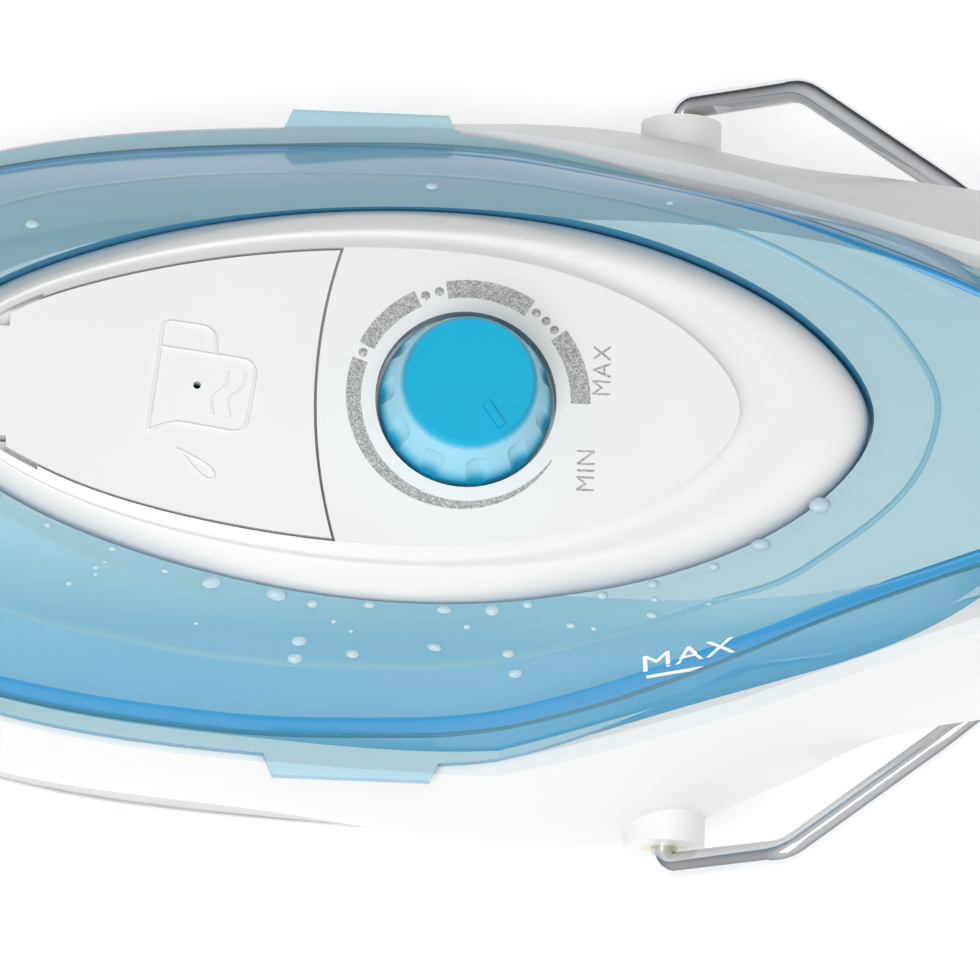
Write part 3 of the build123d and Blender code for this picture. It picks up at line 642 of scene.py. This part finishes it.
def make_tank_mark(weld):
    """White fill-level print on the near side of the tank, partly over the weld."""
    words = lettering("MAX", MARK_SIZE, MARK_SPREAD, MARK_PLACE, MARK_TURN)
    bpy.ops.mesh.primitive_grid_add(x_subdivisions=24, y_subdivisions=1, size=1.0)
    rule = start_edit("rule")
    thicken()
    bpy.ops.object.mode_set(mode="OBJECT")
    rule.scale = (*RULE_SIZE, 1.0)
    rule.location = (*RULE_PLACE, -INK / 2)
    rule.rotation_euler.z = math.radians(RULE_TURN)
    settle(rule)
    mark = join([words, rule], "tank_mark")
    bpy.ops.object.mode_set(mode="EDIT")
    bpy.ops.mesh.select_all(action="SELECT")
    bpy.ops.mesh.subdivide(number_cuts=1)
    bpy.ops.object.mode_set(mode="OBJECT")
    lay_on_tank(mark, INK, weld)
    hand_over(mark, "tank", moulded("white_ink", (0.9, 0.92, 0.93), 0.5))


# --- Seam, shoulder and drops of the tank ------------------------------------------------------
# Ahead of X = -107 the weld's path runs past the edge of the tank; lay_on_tank leaves that stretch unlaid.
WELD = [(-131.5, 0.0), (-126.0, 15.0), (-110.0, 28.0), (-90.0, 36.2), (-72.0, 41.2), (-41.0, 45.6),
        (-10.0, 46.4), (4.0, 45.6), (14.0, 43.8), (40.0, 36.4), (60.0, 28.8), (80.5, 20.8)]
SHOULDER = [(-98.0, 0.0), (-94.0, 14.5), (-84.0, 25.0), (-72.0, 31.8), (-50.0, 36.8), (-33.0, 38.9),
            (-12.0, 39.4), (4.0, 38.6), (20.0, 35.6), (36.0, 31.0), (54.0, 23.5), (68.0, 13.0), (73.0, 0.0)]
ABOVE_TANK = 0.2           # rays start here
# Radius and height of each raised line.
WELD_LINE = (0.95 * MM, 0.34 * MM)
# The foot line is painted shadow: a thin dark line along the outside of the weld.
WELD_SHADOW_LINE = (0.26 * MM, 0.2 * MM)
CREASE_LINE = (0.5 * MM, 0.12 * MM)
WELD_SHADOW_OUT = 1.1             # how far the painted shadow line at the weld's foot lies outside the weld


def round_the_nose(points):
    """From the near side's tail forward, round the nose and back along the far side."""
    near = [(x, -y) for x, y in reversed(points) if y > 0]
    return near + list(points)


def smooth_line(points, closed=False):
    """Points along a smooth curve through the given ones."""
    curve = bpy.data.curves.new("guide", "CURVE")
    curve.dimensions = "3D"
    spline = curve.splines.new("BEZIER")
    spline.bezier_points.add(len(points) - 1)
    for point, (x, y) in zip(spline.bezier_points, points):
        point.co = (x, y, 0.0)
        point.handle_left_type = point.handle_right_type = "AUTO"
    spline.use_cyclic_u = closed
    guide = bpy.data.objects.new("guide", curve)
    mesh = bpy.data.meshes.new_from_object(guide)
    path = [vertex.co.copy() for vertex in mesh.vertices]
    bpy.data.objects.remove(guide)
    bpy.data.meshes.remove(mesh)
    return path


def tank_height(x, y, *raised):
    """Height over a place of the tank's outer face, or of a piece raised on it; None beside the tank."""
    heights = []
    for piece in (TANK, *raised):
        hit, place, _, _ = piece.ray_cast(Vector((x, y, ABOVE_TANK)), Vector((0, 0, -1)))
        if hit:
            heights.append(place.z)
    return max(heights, default=None)


def lay_on_tank(piece, proud, *raised):
    """Sets a flat piece on the tank's outer face, keeping its thickness. What lies beside the tank
    stays where it is."""
    for vertex in piece.data.vertices:
        height = tank_height(vertex.co.x, vertex.co.y, *raised)
        if height is not None:
            vertex.co.z += height + proud


def beside(path, out):
    """The path moved to its left, which is outward on a path that runs round the nose."""
    moved = []
    for before, place, after in zip([path[0], *path], path, [*path[1:], path[-1]]):
        along = (after - before).normalized()
        moved.append(place + Vector((-along.y, along.x, 0.0)) * out)
    return moved


def make_tank_seams():
    """The weld between the tank's shell and its floor, a dark line at its foot that is painted shadow, and
    the soft crease of the shoulder. Returns the weld."""
    weld_path = smooth_line(round_the_nose(WELD))
    crease_path = round_the_nose(SHOULDER[:-1]) + [SHOULDER[-1]]
    weld = bead(weld_path, *WELD_LINE)
    # painted shadow: a dark line just outside the weld, where the weld shades the tank
    foot = bead(beside(weld_path, WELD_SHADOW_OUT), *WELD_SHADOW_LINE)
    crease = bead(smooth_line(crease_path[1:], closed=True), *CREASE_LINE, closed=True)
    lines = (
        (weld, "tank_weld", make_clear_blue("weld_blue", (0.05, 0.42, 0.80), 0.35)),
        # the foot line's dark teal is painted shadow, not a colour of the plastic
        (foot, "tank_weld_shadow", make_clear_blue("weld_shadow_blue", (0.05, 0.24, 0.36), 0.2)),
        (crease, "tank_crease", make_clear_blue("crease_blue", (0.32, 0.66, 0.82), 0.4)),
    )
    for line, name, blue in lines:
        settle(line)
        lay_on_tank(line, 0.0)
        line.name = name
        hand_over(line, "tank", blue)
    return weld


DROP_SEED = 7
# For each group of drops: how many, the stretch along X, how far out from the cover's rim, and the size.
EDGE_COUNT, EDGE_RUN, EDGE_OUT, EDGE_SIZE = 17, (-78.0, 54.0), (0.6, 1.5), (0.6, 1.7)
FACE_COUNT, FACE_RUN, FACE_OUT, FACE_SIZE = 22, (-74.0, 45.0), (2.5, 9.0), (0.4, 1.3)
NEAR_SHARE = 0.8           # share of the face drops that lie on the near side
DROP_CUT = -0.25           # where the ball is cut off, in its radii
DROP_LIFT = 0.1 * MM
DROP_TALL = 0.5            # height over length
COVER_MID = -4.0
COVER_FULLNESS = 0.575     # 0.5 would be an ellipse; more is pointed at the ends


def one_drop(place, long, wide, tall, turn):
    """A bead of water: a ball flattened and cut off where it sits."""
    bpy.ops.mesh.primitive_uv_sphere_add(segments=18, ring_count=10, radius=1.0)
    drop = start_edit("drop")
    bpy.ops.mesh.select_all(action="SELECT")
    bpy.ops.mesh.bisect(plane_co=(0, 0, DROP_CUT), plane_no=(0, 0, 1), clear_inner=True, use_fill=True)
    bpy.ops.object.mode_set(mode="OBJECT")
    drop.scale = (long, wide, tall)
    drop.rotation_euler.z = turn
    drop.location = place
    settle(drop, 60.0)
    return drop


def make_water_drops():
    """Condensed drops: a row under the near edge of the cover and a few on the tank's face."""
    chance = random.Random(DROP_SEED)
    drops = []
    run = EDGE_RUN[1] - EDGE_RUN[0]
    for i in range(EDGE_COUNT):
        x = (EDGE_RUN[0] + run * (i + chance.uniform(-0.3, 0.3)) / (EDGE_COUNT - 1)) * MM
        y = -edge_half(x / MM) * MM - chance.uniform(*EDGE_OUT) * MM
        drops.append((x, y, chance.uniform(*EDGE_SIZE)))
    for _ in range(FACE_COUNT):
        x = chance.uniform(*FACE_RUN) * MM
        side = -1 if chance.random() < NEAR_SHARE else 1
        y = side * (edge_half(x / MM) + chance.uniform(*FACE_OUT)) * MM
        drops.append((x, y, chance.uniform(*FACE_SIZE)))
    made = []
    for x, y, size in drops:
        height = tank_height(x, y)
        if height is not None:
            wide = size * chance.uniform(0.55, 0.8)
            made.append(one_drop((x, y, height + DROP_LIFT), size * MM, wide * MM, DROP_TALL * size * MM,
                                 chance.uniform(-0.2, 0.2)))
    water = join(made, "water_drops")
    hand_over(water, "tank", make_water())


def edge_half(x):
    """Half width of the cover's rim at a place along it."""
    reach = (COVER_HIGH.x / MM - COVER_MID) if x > COVER_MID else (COVER_MID - COVER_LOW.x / MM)
    share = min(abs(x - COVER_MID) / reach, 0.98)
    return COVER_HIGH.y / MM * (1 - share * share) ** COVER_FULLNESS


def make_clear_blue(name, colour, through):
    """The tank's plastic where it is thick and its blue is deep; at the weld's foot the same finish carries
    a dark painted shadow.
    """
    material, tree, shader = new_material(name)
    skin = place_group(tree, MOULDED_SKIN, Color=(*colour, 1.0), Drift=0.06, Gloss_Low=0.12,
                       Gloss_High=0.2, Grain_Scale=900.0)
    tree.links.new(skin.outputs["Color"], shader.inputs["Base Color"])
    tree.links.new(skin.outputs["Roughness"], shader.inputs["Roughness"])
    shader.inputs["Transmission Weight"].default_value = through
    shader.inputs["IOR"].default_value = 1.49
    return material


def make_water():
    """Drops of water: a pale, mirror-smooth skin that lets part of the tank's blue through."""
    material, tree, shader = new_material("water")
    skin = place_group(tree, MOULDED_SKIN, Color=(0.66, 0.86, 0.92, 1.0), Drift=0.02, Gloss_Low=0.0,
                       Gloss_High=0.03, Grain_Scale=300.0)
    tree.links.new(skin.outputs["Color"], shader.inputs["Base Color"])
    tree.links.new(skin.outputs["Roughness"], shader.inputs["Roughness"])
    shader.inputs["Transmission Weight"].default_value = 0.35
    shader.inputs["Specular IOR Level"].default_value = 1.0
    shader.inputs["IOR"].default_value = 1.33
    return material


# --- Spring of the steam trigger ---------------------------------------------------------------
SPRING_WIRE = 0.45 * MM
SPRING_TURNS = 4
SPRING_STEPS = 28          # points in each turn


def make_trigger_coil():
    """The trigger's return spring, wound again as a wire coil that fills the part's box."""
    low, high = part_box("trigger_spring")
    middle = (low + high) / 2
    reach = (high.x - low.x) / 2 - SPRING_WIRE
    start, tall = low.z + SPRING_WIRE, high.z - low.z - 2 * SPRING_WIRE
    steps = SPRING_TURNS * SPRING_STEPS
    points = []
    for i in range(steps + 1):
        turn = 2 * math.pi * i / SPRING_STEPS
        points.append((middle.x + reach * math.cos(turn), middle.y + reach * math.sin(turn),
                       start + tall * i / steps))
    coil = wire(points, SPRING_WIRE)
    settle(coil, 60.0)
    coil.name = "trigger_coil"
    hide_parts("trigger_spring")
    hand_over(coil, "housing", FINISHES["shaft_steel"])
    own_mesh(coil)


make_camera()
make_light()
make_floor()
finish_frame()
make_door_emblem()
make_dial_legend()
make_tank_mark(make_tank_seams())
make_water_drops()
make_trigger_coil()
